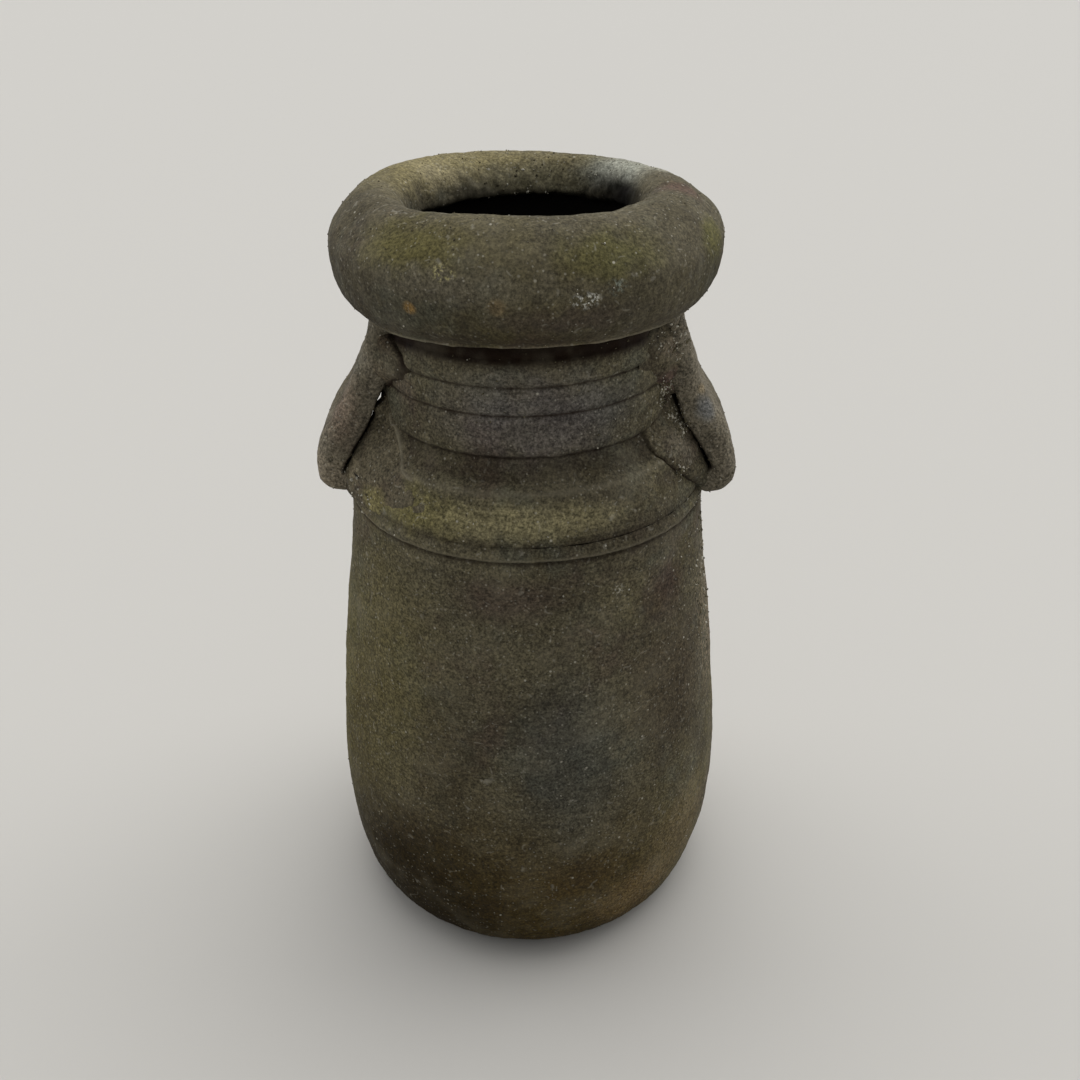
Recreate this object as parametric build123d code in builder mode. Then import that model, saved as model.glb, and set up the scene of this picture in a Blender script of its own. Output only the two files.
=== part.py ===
"""Tall unglazed black clay jar with a hollow rolled rim and two folded lugs.

Frame: millimetres, +Z up, origin at the centre of the underside.
The lugs stand out along +X and -X; the front of the jar faces -Y.
The jar is built the way a potter builds it: a floor slab, a coiled belly wall, a shoulder and a neck
set on bevelled edges, a rim rolled out over a throat, and two clay straps luted on with soft pads.
"""

import os

from build123d import *

# ---------------------------------------------------------------- driving dimensions
height = 262.0  # crest of the rolled rim
wall = 7.5  # thrown wall thickness
belly_radius = 72.0
belly_radius_height = 50.0
belly_taper = (68.2, 95.0)  # radius and height part of the way up the taper
foot_radius = 57.0  # flat ring that the jar stands on
floor_radius = 50.0
floor_thickness = 9.0

belt_low = 164.4  # lower turned line
belt_high = 169.6  # upper turned line
belt_radius = 59.8
belt_depth = 3.6  # depth of the V between the bevelled edges
belt_crown = 0.7  # how far the belt stands proud

ridge_radius = 52.4  # soft ridge half way up the shoulder
ridge_height = 184.8
shoulder_cove = (48.6, 188.2)  # hollow curve from the ridge into the neck
neck_foot = 193.6  # the step where the neck overhangs the shoulder
neck_radius = 47.2
neck_step = 1.2  # overhang at that step
ring_heights = (206.6, 215.3, 223.8)  # turned lines round the neck
ring_draw_in = 0.4  # each ring is this much slimmer than the one below
ring_crown = 0.5  # bulge of a ring between two lines
recess_depth = 1.8  # shadow groove under the roll
recess_top = 227.4
seat_height = 231.5  # top outer corner of the neck, under the roll
neck_bore = neck_radius - wall

roll_centre_radius = 46.7
roll_tilt = 67.0  # degrees: the oval's long axis leans out as it goes down
roll_long = 16.6  # half the oval's long axis
roll_short = 12.7  # half its short axis
roll_wall = 6.0
roll_centre_height = height - 16.1

lug_reach = 69.2  # furthest point of a lug from the jar's axis
lug_reach_height = 176.5
lug_face = ((48.4, 234.0), (48.8, 223.5), (54.2, 208.8), (63.0, 192.6))  # outer face, going down
lug_low = (60.8, 165.6)  # where the fold meets the belt
lug_fold = (66.8, 168.9)  # on the curve between the two
lug_half_width = 20.0
lug_edge_round = 5.5
slit_top = (46.0, 202.0)
slit_top_radius = 2.0
slit_bottom = (58.8, 176.8)
slit_bottom_radius = 0.9
pad_thickness = 1.8
foot_pad_angle = 76.0  # degrees of the jar's circumference
top_pad_angle = 66.0

# ---------------------------------------------------------------- outlines, in the XZ plane
heel = (foot_radius, 0.0)
heel_top = (67.6, 12.0)
belt_foot = (belt_radius, belt_low)
belt_head = (belt_radius, belt_high)
belt_root = (belt_radius - belt_depth, (belt_low + belt_high) / 2)
shoulder_top = (neck_radius - neck_step, neck_foot)
shoulder_ridge = (ridge_radius, ridge_height)
neck_lip = (neck_radius, neck_foot)
ring_radii = [neck_radius - ring_draw_in * (n + 1) for n in range(len(ring_heights))]
recess_point = (ring_radii[-1] - recess_depth, recess_top)
seat_point = (ring_radii[-1] + 0.6, seat_height)


def inward(point, distance=wall):
    """The same height, nearer to the axis."""
    return (point[0] - distance, point[1])


def belly_curve(shift=0.0):
    """Heel to belt: widest at a fifth of the height, then a long taper."""
    return Spline(
        (heel_top[0] - shift, heel_top[1]),
        (belly_radius - shift, belly_radius_height),
        (belly_taper[0] - shift, belly_taper[1]),
        (belt_radius - shift, belt_low),
        tangents=((0.28, 1.0), (-0.03, 1.0)),
    )


def heel_curve():
    """Rounded heel between the standing ring and the belly."""
    return Spline(heel, heel_top, tangents=((1.0, 0.08), (0.28, 1.0)))


def shoulder_curve():
    """Straight slope up to the ridge, then a cove into the neck."""
    Line(belt_head, shoulder_ridge)
    return ThreePointArc(shoulder_ridge, shoulder_cove, shoulder_top)


def neck_curve():
    """Three crowned rings, each ending in a turned line, then the recess under the roll."""
    low = neck_lip
    for ring_radius, ring_height in zip(ring_radii, ring_heights):
        top = (ring_radius, ring_height)
        middle = ((low[0] + top[0]) / 2 + ring_crown, (low[1] + top[1]) / 2)
        ThreePointArc(low, middle, top)
        low = top
    Line(low, recess_point)
    return Line(recess_point, seat_point)


def roll_oval(inset=0.0, mode=Mode.ADD):
    """Section of the rolled rim: an oval that leans outwards, drawn smaller for its hollow."""
    with Locations((roll_centre_radius, roll_centre_height)):
        Ellipse(roll_long - inset, roll_short - inset, rotation=-roll_tilt, mode=mode)


# ---------------------------------------------------------------- floor
with BuildPart() as floor_disc:
    with BuildSketch():
        Circle(floor_radius)
    extrude(amount=floor_thickness)
    inner_edge = floor_disc.edges().filter_by(GeomType.CIRCLE).sort_by(Axis.Z)[-1]
    chamfer(inner_edge, 2.0)

# ---------------------------------------------------------------- belly wall
with BuildPart() as belly_wall:
    with BuildSketch(Plane.XZ):
        with BuildLine():
            heel_curve()
            belly_curve()
            Line(belt_foot, belt_root)
            Line(belt_root, (belt_radius - wall, belt_root[1]))
            Line((belt_radius - wall, belt_root[1]), (belt_radius - wall, belt_low))
            belly_curve(shift=wall)
            Line(inward(heel_top), (floor_radius + 1.0, floor_thickness))
            Line((floor_radius + 1.0, floor_thickness), (floor_radius - 2.0, floor_thickness))
            Line((floor_radius - 2.0, floor_thickness), (floor_radius, floor_thickness - 2.0))
            Line((floor_radius, floor_thickness - 2.0), (floor_radius, 0.0))
            Line((floor_radius, 0.0), heel)
        make_face()
    revolve(axis=Axis.Z)

# ---------------------------------------------------------------- belt coil over the luted joint
with BuildPart() as joint_belt:
    with BuildSketch(Plane.XZ):
        with BuildLine():
            Polyline(belt_foot, belt_root, belt_head)
            ThreePointArc(belt_head, (belt_radius + belt_crown, belt_root[1]), belt_foot)
        make_face()
    revolve(axis=Axis.Z)

# ---------------------------------------------------------------- shoulder
shoulder_inner_low = (belt_radius - wall, belt_root[1])
shoulder_inner_top = (neck_bore, neck_foot)
with BuildPart() as shoulder_wall:
    with BuildSketch(Plane.XZ):
        with BuildLine():
            Line(belt_root, belt_head)
            shoulder_curve()
            Line(shoulder_top, shoulder_inner_top)
            Spline(
                shoulder_inner_top,
                (ridge_radius - wall - 0.6, ridge_height - 1.5),
                shoulder_inner_low,
                tangents=((0.3, -1.0), (0.3, -1.0)),
            )
            Line(shoulder_inner_low, belt_root)
        make_face()
    revolve(axis=Axis.Z)

# ---------------------------------------------------------------- neck, its top cut to the roll
with BuildPart() as neck_wall:
    with BuildSketch(Plane.XZ):
        with BuildLine():
            neck_curve()
            Polyline(
                seat_point,
                (seat_point[0], roll_centre_height),
                (neck_bore, roll_centre_height),
                shoulder_inner_top,
                neck_lip,
            )
        make_face()
        roll_oval(mode=Mode.SUBTRACT)
    revolve(axis=Axis.Z)

# ---------------------------------------------------------------- rolled rim and throat
# One hollow oval section, divided at the crest and at the seam under the roll.
crest_split = (43.9, height + 10.0)
seam_split = (49.0, seat_height - 10.0)


def rim_section(inner_half):
    """The half of the hollow oval on the mouth side, or the half that rolls outwards."""
    roll_oval()
    roll_oval(inset=roll_wall, mode=Mode.SUBTRACT)
    far = 0.0 if inner_half else belly_radius * 2
    half = (crest_split, (far, crest_split[1]), (far, seam_split[1]), seam_split)
    Polygon(*half, align=None, mode=Mode.INTERSECT)


with BuildPart() as throat_wall:
    with BuildSketch(Plane.XZ):
        rim_section(inner_half=True)
    revolve(axis=Axis.Z)

with BuildPart() as rim_roll:
    with BuildSketch(Plane.XZ):
        rim_section(inner_half=False)
    revolve(axis=Axis.Z)

# ---------------------------------------------------------------- filled jar, the cutter for what is luted on
with BuildPart() as filled_jar:
    with BuildSketch(Plane.XZ):
        with BuildLine():
            heel_curve()
            belly_curve()
            ThreePointArc(belt_foot, (belt_radius + belt_crown, belt_root[1]), belt_head)
            shoulder_curve()
            Line(shoulder_top, neck_lip)
            neck_curve()
            Polyline(
                seat_point,
                (seat_point[0], roll_centre_height),
                (0, roll_centre_height),
                (0, 0),
                heel,
            )
        make_face()
        roll_oval()
    revolve(axis=Axis.Z)


# ---------------------------------------------------------------- lugs and their luting pads
def pad_blank(low, high, angle):
    """A band of soft clay wrapped part of the way round the jar, centred on +X."""
    start = Plane.XZ.rotated((0, 0, -angle / 2))
    with BuildPart() as blank:
        with BuildSketch(start):
            with BuildLine():
                Polyline(
                    (low[0], low[1]),
                    (high[0], high[1]),
                    (high[0] - wall, high[1]),
                    (low[0] - wall, low[1]),
                    close=True,
                )
            make_face()
        revolve(axis=Axis.Z, revolution_arc=angle)
        add(filled_jar.part, mode=Mode.SUBTRACT)
    return blank.part


foot_pad_low = (belt_radius + pad_thickness * 0.6, belt_high + 0.6)
foot_pad_high = (neck_radius + pad_thickness, 200.0)
top_pad_low = (neck_radius + pad_thickness, 205.0)
top_pad_high = (lug_face[0][0] - 0.6, seat_height + 3.0)

with BuildPart() as right_lug_foot_pad:
    add(pad_blank(foot_pad_low, foot_pad_high, foot_pad_angle))

with BuildPart() as right_lug_top_pad:
    add(pad_blank(top_pad_low, top_pad_high, top_pad_angle))

with BuildPart() as right_lug:
    with BuildSketch(Plane.XZ):
        with BuildLine():
            widest = (lug_reach, lug_reach_height)
            Spline(*lug_face, widest, tangents=((0.0, -1.0), (0.0, -1.0)))
            ThreePointArc(widest, lug_fold, lug_low)
            Polyline(lug_low, (52.0, lug_low[1] + 3.0), (40.0, neck_foot), (40.0, 234.0), lug_face[0])
        make_face()
    extrude(amount=lug_half_width, both=True)
    strap_edges = right_lug.edges().filter_by(
        lambda e: e.center().X > 56 and abs(abs(e.center().Y) - lug_half_width) < 0.01
    )
    fillet(strap_edges, lug_edge_round)
    # the slit between the strap and its folded-back foot, wider at its upper end
    with BuildSketch(Plane.XZ):
        with Locations(slit_top):
            Circle(slit_top_radius)
        with Locations(slit_bottom):
            Circle(slit_bottom_radius)
        make_hull()
    extrude(amount=lug_half_width * 2, both=True, mode=Mode.SUBTRACT)
    add(filled_jar.part, mode=Mode.SUBTRACT)
    add(right_lug_foot_pad.part, mode=Mode.SUBTRACT)
    add(right_lug_top_pad.part, mode=Mode.SUBTRACT)

pieces = {
    "floor_disc": floor_disc.part,
    "belly_wall": belly_wall.part,
    "joint_belt": joint_belt.part,
    "shoulder_wall": shoulder_wall.part,
    "neck_wall": neck_wall.part,
    "throat_wall": throat_wall.part,
    "rim_roll": rim_roll.part,
    "right_lug": right_lug.part,
    "right_lug_top_pad": right_lug_top_pad.part,
    "right_lug_foot_pad": right_lug_foot_pad.part,
}
for name in ("lug", "lug_top_pad", "lug_foot_pad"):
    pieces["left_" + name] = mirror(pieces["right_" + name], about=Plane.YZ)

os.makedirs("parts", exist_ok=True)
for name, piece in pieces.items():
    piece.label = name
    export_step(piece, f"parts/{name}.step")
    print(name, len(piece.solids()), round(piece.volume), piece.bounding_box())
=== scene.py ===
# Weathered black clay jar: rolled rim, ribbed neck, belted shoulder and two folded lugs.
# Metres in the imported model's frame: +Z up, the jar stands at z = 0 and its front faces -Y.

import math
import bpy
import numpy as np
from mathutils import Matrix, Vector


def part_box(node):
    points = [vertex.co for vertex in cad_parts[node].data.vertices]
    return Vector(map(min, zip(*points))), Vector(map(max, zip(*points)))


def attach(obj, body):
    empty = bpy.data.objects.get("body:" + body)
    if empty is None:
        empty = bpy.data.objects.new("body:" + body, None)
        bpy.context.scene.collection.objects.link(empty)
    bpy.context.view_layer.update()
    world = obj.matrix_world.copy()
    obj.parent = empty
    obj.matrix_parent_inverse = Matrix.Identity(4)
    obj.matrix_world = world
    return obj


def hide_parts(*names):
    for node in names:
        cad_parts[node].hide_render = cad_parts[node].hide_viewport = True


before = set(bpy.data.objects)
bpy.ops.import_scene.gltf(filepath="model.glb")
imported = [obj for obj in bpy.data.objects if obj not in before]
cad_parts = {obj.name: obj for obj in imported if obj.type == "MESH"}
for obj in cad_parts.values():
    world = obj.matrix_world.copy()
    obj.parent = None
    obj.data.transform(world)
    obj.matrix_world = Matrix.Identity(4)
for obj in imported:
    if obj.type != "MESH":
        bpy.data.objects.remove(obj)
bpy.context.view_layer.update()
mm = 0.001
print("frame loaded:", len(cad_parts), "clay members")


# Numbers shared by every piece, in millimetres.

def lowOf(node, axis=2):
    # Lowest x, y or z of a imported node, in millimetres.
    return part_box(node)[0][axis] / mm


def highOf(node, axis=2):
    # Highest x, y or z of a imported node, in millimetres.
    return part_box(node)[1][axis] / mm


jar = {
    "columns": 420,  # points round the jar
    "wall": 7.5,  # thrown wall
    "beltCrown": 0.7,  # how far the belt stands out
    "beltRoot": 3.6,  # how deep the V behind it is
    "oval": (0.35, 0.6),  # out of round, and the direction of the long way in radians
    "threeSided": (0.25, 2.2),
    "unevenness": (0.5, 42.0),  # soft dents: depth and size
    "ringTilt": 0.026,  # how much the rings of the neck rise towards +X, mm per mm
    "tiltFrom": (150.0, 215.0),
    "tiltBack": (228.0, 262.0),  # the rim leans back the other way
    "tiltTurn": 1.4,
    "rough": [(16, 0.35), (5.5, 0.2), (2.5, 0.17)],  # the same field on every thrown piece: size, height
}
beltBottom, beltTop = lowOf("joint_belt"), highOf("joint_belt")
beltRadius = highOf("joint_belt", 0) - jar["beltCrown"]
beltMiddle = (beltBottom + beltTop) / 2
beltRoot = (beltRadius - jar["beltRoot"], beltMiddle)
bellyRadius = highOf("belly_wall", 0)
floorRadius = highOf("floor_disc", 0)
floorTop = highOf("floor_disc")
neckFoot = lowOf("neck_wall")
rimTop = highOf("rim_roll")
skins = []  # points and outward directions of every finished skin, for the grains


# Numpy tools.

def ease(values, start, end):
    # 0 before start, 1 after end, and a smooth cubic step between them.
    t = np.clip((values - start) / (end - start), 0, 1)
    return t * t * (3 - 2 * t)


def hill(values, middle, width):
    # A bell of height 1 round the middle: exp(-((value - middle) / width) squared).
    return np.exp(-(((values - middle) / width) ** 2))


def smoothLine(knots, count):
    # Natural cubic spline through the knots, by distance along the chords of their first two numbers, at
    # evenly spaced places; further numbers follow.
    knots = np.asarray(knots, float)
    gaps = np.linalg.norm(np.diff(knots[:, :2], axis=0), axis=1)
    marks = np.concatenate([[0], np.cumsum(gaps)])
    places = np.linspace(0, marks[-1], count)
    n = len(knots)
    system, right = np.eye(n), np.zeros_like(knots)
    inner = np.arange(1, n - 1)
    system[inner, inner - 1] = gaps[:-1]
    system[inner, inner] = 2 * (gaps[:-1] + gaps[1:])
    system[inner, inner + 1] = gaps[1:]
    slopes = np.diff(knots, axis=0) / gaps[:, None]
    right[1:-1] = 6 * np.diff(slopes, axis=0)
    bends = np.linalg.solve(system, right)
    k = np.clip(np.searchsorted(marks, places, side="right") - 1, 0, n - 2)
    h, a = gaps[k][:, None], (places - marks[k])[:, None]
    b = h - a
    return ((bends[k] * b ** 3 + bends[k + 1] * a ** 3) / (6 * h)
            + (knots[k] / h - bends[k] * h / 6) * b + (knots[k + 1] / h - bends[k + 1] * h / 6) * a)


def loop(*runs):
    # Runs joined end to end into a closed outline, whose last point is left out; each run is (knots, count),
    # smooth inside and free to turn sharply where the next begins.
    lines = [smoothLine(knots, count) for knots, count in runs]
    return np.concatenate([line[:-1] for line in lines])


def scramble(cells, seed):
    # Whole numbers of a lattice cell mixed into one that looks random.
    x, y, z = (cells[..., i].astype(np.uint64) for i in range(3))
    mixed = x * np.uint64(73856093) ^ y * np.uint64(19349663) ^ z * np.uint64(83492791)
    mixed = (mixed + np.uint64(seed * 7919 + 17)) * np.uint64(2654435761) & np.uint64(0xFFFFFFFF)
    mixed = (mixed ^ (mixed >> np.uint64(15))) * np.uint64(2246822519) & np.uint64(0xFFFFFFFF)
    return mixed ^ (mixed >> np.uint64(13))


def clayNoise(points, size, seed=0):
    # Gradient noise, about -1 to 1: every lattice corner has a random slope, and the eight slopes round
    # a point are mixed by smoothed distances. Size is the lattice spacing, in the points' own units.
    scaled = np.asarray(points, float) / size + 1000.0
    cells = np.floor(scaled)
    inside = scaled - cells
    weights = inside ** 3 * (inside * (inside * 6 - 15) + 10)
    total = np.zeros(scaled.shape[:-1])
    for corner in np.ndindex(2, 2, 2):
        value = scramble(cells + corner, seed)
        slope = np.stack([(value >> np.uint64(s) & np.uint64(255)).astype(float) / 127.5 - 1
                          for s in (0, 8, 16)], -1)
        share = np.prod(np.where(corner, weights, 1 - weights), -1)
        total += share * ((inside - corner) * slope).sum(-1)
    return total * 1.3


def roundAxis(line, columns=None):
    # Carries an outline of (radius, height) round the axis: x = r sin a, y = -r cos a, a = 0 in front.
    columns = columns or jar["columns"]
    a = np.arange(columns) * (2 * np.pi / columns)
    r, h = line[:, 0][:, None], line[:, 1][:, None]
    return np.stack([r * np.sin(a), -r * np.cos(a), h + 0 * a], -1)


def azimuthOf(points):
    # Angle round the axis, 0 in front and positive towards +X.
    return np.arctan2(points[..., 0], -points[..., 1])


def settle(points):
    # The potter's hand, the same for every piece so that they stay together: the radius swells and shrinks
    # twice and three times round the jar, the neck's rings rise towards +X and the rim leans back.
    a, h = azimuthOf(points), points[..., 2]
    r = np.hypot(points[..., 0], points[..., 1])
    swell = (jar["oval"][0] * np.cos(2 * (a - jar["oval"][1]))
             + jar["threeSided"][0] * np.cos(3 * a + jar["threeSided"][1])) * ease(h, 0, 40)
    depth, size = jar["unevenness"]
    swell += depth * clayNoise(points, size, 5)
    scale = 1 + swell * ease(r, 5, 25) / np.maximum(r, 1)
    out = points * np.stack([scale, scale, np.ones_like(scale)], -1)
    tilt = ease(h, *jar["tiltFrom"]) * (1 - jar["tiltTurn"] * ease(h, *jar["tiltBack"]))
    out[..., 2] += jar["ringTilt"] * tilt * points[..., 0]
    return out


def outwardOf(grid, closedAlong):
    # Unit normals of a grid: the cross product of its two tangents, closed round the columns.
    across = np.roll(grid, -1, 1) - np.roll(grid, 1, 1)
    along = np.roll(grid, -1, 0) - np.roll(grid, 1, 0) if closedAlong else np.gradient(grid, axis=0)
    normal = np.cross(across, along)
    return normal / np.maximum(np.linalg.norm(normal, axis=-1, keepdims=True), 1e-12)


def gridFaces(rows, columns, closedAlong):
    # Four corners of every cell; the columns close on themselves, and the rows too if closedAlong.
    last = rows if closedAlong else rows - 1
    i, j = np.meshgrid(np.arange(last), np.arange(columns), indexing="ij")
    nextRow, nextColumn = (i + 1) % rows, (j + 1) % columns
    return np.stack([i * columns + j, i * columns + nextColumn,
                     nextRow * columns + nextColumn, nextRow * columns + j], -1).reshape(-1, 4)


def volumeOf(points, faces):
    # Signed volume by the divergence theorem, positive when the faces point outwards.
    a, b, c = points[faces[:, 0]], points[faces[:, 1]], points[faces[:, 2]]
    total = np.einsum("ij,ij->i", a, np.cross(b, c)).sum()
    if faces.shape[1] == 4:
        d = points[faces[:, 3]]
        total += np.einsum("ij,ij->i", a, np.cross(c, d)).sum()
    return total


def newObject(name, content):
    # An object with this mesh, light or camera, in the scene.
    made = bpy.data.objects.new(name, content)
    bpy.context.scene.collection.objects.link(made)
    return made


def layMesh(name, points, faceSets, marks):
    # Points in millimetres and sets of faces become a smooth mesh with a float attribute for each mark.
    if sum(volumeOf(points, faces) for faces in faceSets) < 0:
        faceSets = [faces[:, ::-1] for faces in faceSets]
    mesh = bpy.data.meshes.new(name)
    allFaces = [row for faces in faceSets for row in faces.tolist()]
    mesh.from_pydata(points * mm, [], allFaces)
    mesh.polygons.foreach_set("use_smooth", np.ones(len(allFaces), bool))
    for mark, values in marks.items():
        mesh.attributes.new(mark, "FLOAT", "POINT").data.foreach_set("value", values.astype(np.float32))
    mesh.update()
    return newObject(name, mesh)


def surfacePiece(name, grid, closedAlong, marks):
    # A grid of points as one closed skin; where the rows don't close, each end is shut with a fan.
    rows, columns = grid.shape[:2]
    points = grid.reshape(-1, 3)
    faceSets = [gridFaces(rows, columns, closedAlong)]
    flat = {mark: np.broadcast_to(values, (rows, columns)).reshape(-1) for mark, values in marks.items()}
    if not closedAlong:
        j = np.arange(columns)
        points = np.concatenate([points, grid[[0, -1]].mean(1)])
        low, high = rows * columns, rows * columns + 1
        top = (rows - 1) * columns
        faceSets.append(np.stack([(j + 1) % columns, j, np.full(columns, low)], -1))
        faceSets.append(np.stack([top + j, top + (j + 1) % columns, np.full(columns, high)], -1))
        flat = {mark: np.append(values, [values[0], values[-1]]) for mark, values in flat.items()}
    return layMesh(name, points, faceSets, flat)


def finishPiece(piece, material, slot, *nodes):
    # Rides on the jar's one body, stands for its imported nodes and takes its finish.
    piece.data.materials.append(material)
    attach(piece, "root")
    if nodes:
        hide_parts(*nodes)
    print("made", piece.name, len(piece.data.polygons), "faces")
    return piece


def weather(grid, closedAlong, layers, seed, share=1.0, inside=0.0):
    # Settles a grid and pushes it out along its normals by noise; each layer is (size, height) and share
    # scales them. The marks that the clay reads: hollow where the noise is low, worn where it is high,
    # one by which way the skin faces, dust and painted light where it faces up and painted shade where it
    # faces down, and one of painted shade on the jar's inside.
    raised = share * sum(height * clayNoise(grid, size, seed + 11 * i)
                         for i, (size, height) in enumerate(layers))
    settled = settle(grid)
    outward = outwardOf(settled, closedAlong)
    if (outward * (settled - settled.mean((0, 1)))).sum() < 0:
        outward = -outward
    insideShade = np.broadcast_to(inside, raised.shape)
    level = raised / sum(height for size, height in layers)
    marks = {"hollow": np.clip(-level * 0.5, 0, 1), "worn": np.clip(level * 0.3, 0, 1),
             "dustAndShade": ease(outward[..., 2], -0.8, 0.9), "insideShade": insideShade}
    grid = settled + outward * raised[..., None]
    shown = insideShade < 0.5
    skins.append((grid[shown], outward[shown]))
    return grid, marks


# Materials.

def linear(code):
    # An sRGB hex colour as linear red, green, blue and alpha.
    parts = np.array([int(code[i:i + 2], 16) for i in (1, 3, 5)]) / 255
    bent = np.where(parts <= 0.04045, parts / 12.92, ((parts + 0.055) / 1.055) ** 2.4)
    return (*bent.tolist(), 1.0)


def put(tree, kind, settings=None, links=None, take=0):
    # Adds a node and gives back its output called take: each setting goes on the property or the input of
    # that name, each link into that input. A Mix node's colours are its inputs 6 and 7 and its output 2.
    node = tree.nodes.new("ShaderNode" + kind)
    for key, value in (settings or {}).items():
        if isinstance(key, str) and hasattr(node, key):
            setattr(node, key, value)
        else:
            node.inputs[key].default_value = value
    for key, source in (links or {}).items():
        tree.links.new(source, node.inputs[key])
    return node.outputs[take] if len(node.outputs) else node


def clayMaterial(name, look):
    # Reduction-fired earthenware, unglazed and long weathered: the smoke left it black-grey right through,
    # damp and dust have turned it olive and brown in clouds, and sand tempers it. It reads as a dry, matte,
    # gritty skin, darker below than above by painted shade, with pale sand specks and no shine.
    material = bpy.data.materials.new(name)
    material.use_nodes = True
    tree = material.node_tree
    tree.nodes.clear()
    rgb, smooth = {"data_type": "RGBA"}, {"interpolation_type": "SMOOTHSTEP"}
    times, shadeBy = {"operation": "MULTIPLY"}, {**rgb, "blend_type": "MULTIPLY", 0: 1.0}
    place = put(tree, "TexCoord", take="Object")
    here = {"Vector": place}
    shifted = {"Vector": put(tree, "Mapping", {"Location": look["shift"]}, here)}

    # colour clouds, each a noise as large as its size in millimetres
    colour = put(tree, "RGB")
    colour.default_value = linear(look["body"])
    for i, (tint, size, start, end, most) in enumerate(look["clouds"]):
        cloud = put(tree, "TexNoise", {"noise_dimensions": "4D", "W": i * 3.7, "Scale": 1 / (size * mm),
                                       "Detail": 5.0, "Roughness": 0.62}, shifted)
        share = put(tree, "MapRange", {**smooth, "From Min": start, "From Max": end, "To Max": most},
                    {"Value": cloud})
        colour = put(tree, "Mix", {**rgb, 7: linear(tint)}, {0: share, 6: colour}, 2)

    # stains that have a place of their own: a ragged ellipsoid, whole or broken into flecks
    wander = put(tree, "TexNoise", {"Scale": 1 / (7 * mm), "Detail": 4.0}, here, "Color")
    for at, size, ragged, most, tint, *more in look["stains"]:
        core, broken = more or (0.25, 0)
        moved = put(tree, "VectorMath", {"operation": "MULTIPLY_ADD", 1: [ragged * mm * 2] * 3,
                                         2: [-c * mm - ragged * mm for c in at]}, {0: wander})
        centred = put(tree, "VectorMath", {"operation": "ADD"}, {0: moved, 1: place})
        shaped = put(tree, "VectorMath", {"operation": "DIVIDE", 1: [c * mm for c in size]}, {0: centred})
        away = put(tree, "VectorMath", {"operation": "LENGTH"}, {0: shaped}, "Value")
        share = put(tree, "MapRange", {**smooth, "From Min": 1.0, "From Max": core, "To Max": most},
                    {"Value": away})
        if broken:
            flecks = put(tree, "TexNoise", {"Scale": 1 / (broken * mm), "Detail": 3.0, "Roughness": 0.65},
                         here)
            kept = put(tree, "MapRange", {"From Min": 0.5, "From Max": 0.58}, {"Value": flecks})
            share = put(tree, "Math", times, {0: share, 1: kept})
        colour = put(tree, "Mix", {**rgb, 7: linear(tint)}, {0: share, 6: colour}, 2)

    # grit: sand of about a millimetre and of half that, drawn no finer so that it shows
    heights = []
    for size, low, high, part in look["grit"]:
        grit = put(tree, "TexNoise", {"Scale": 1 / (size * mm), "Detail": 2.0, "Roughness": 0.7}, here)
        depth = put(tree, "MapRange", {"From Min": 0.34, "From Max": 0.66, "To Min": low, "To Max": high},
                    {"Value": grit})
        colour = put(tree, "Mix", shadeBy, {6: colour, 7: depth}, 2)
        heights.append((grit, part))

    # throwing lines: noise stretched round the jar
    drawn = put(tree, "Mapping", {"Scale": (0.05, 0.05, 1.0)}, here)
    lines = put(tree, "TexNoise", {"Scale": 1 / (look["lineSpacing"] * mm), "Detail": 3.0, "Roughness": 0.6},
                {"Vector": drawn})
    depth = put(tree, "MapRange", {"From Min": 0.35, "From Max": 0.65, "To Min": 1 - look["lineShare"],
                                   "To Max": 1 + look["lineShare"]}, {"Value": lines})
    colour = put(tree, "Mix", shadeBy, {6: colour, 7: depth}, 2)
    heights.append((lines, look["lineHeight"]))

    # pale sand specks of two sizes, each cell of the pattern with its own chance to hold one
    speckled = {**rgb, 7: linear(look["speck"])}
    for cell, radius, chance, most in look["specks"]:
        away = put(tree, "TexVoronoi", {"feature": "F1", "Scale": 1 / (cell * mm)}, shifted, "Distance")
        own = put(tree, "SeparateColor", None, {"Color": away.node.outputs["Color"]}, "Red")
        dot = put(tree, "MapRange", {"From Min": radius, "From Max": radius * 0.5}, {"Value": away})
        held = put(tree, "MapRange", {"From Min": 1 - chance, "From Max": 1.0, "To Max": most},
                   {"Value": own})
        share = put(tree, "Math", times, {0: dot, 1: held})
        colour = put(tree, "Mix", speckled, {0: share, 6: colour}, 2)

    # scratches: thin lines where one noise crosses its middle, kept where another is high
    size, width, most = look["scratches"]
    crossing = put(tree, "TexNoise", {"Scale": 1 / (size * mm), "Detail": 1.0}, shifted)
    apart = put(tree, "Math", {"operation": "SUBTRACT", 1: 0.5}, {0: crossing})
    apart = put(tree, "Math", {"operation": "ABSOLUTE"}, {0: apart})
    thin = put(tree, "MapRange", {"From Min": width, "From Max": 0.0}, {"Value": apart})
    pieces = put(tree, "TexNoise", {"Scale": 1 / (0.25 * size * mm), "Detail": 2.0}, shifted)
    kept = put(tree, "MapRange", {"From Min": 0.56, "From Max": 0.64, "To Max": most}, {"Value": pieces})
    share = put(tree, "Math", times, {0: thin, 1: kept})
    colour = put(tree, "Mix", speckled, {0: share, 6: colour}, 2)

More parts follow.
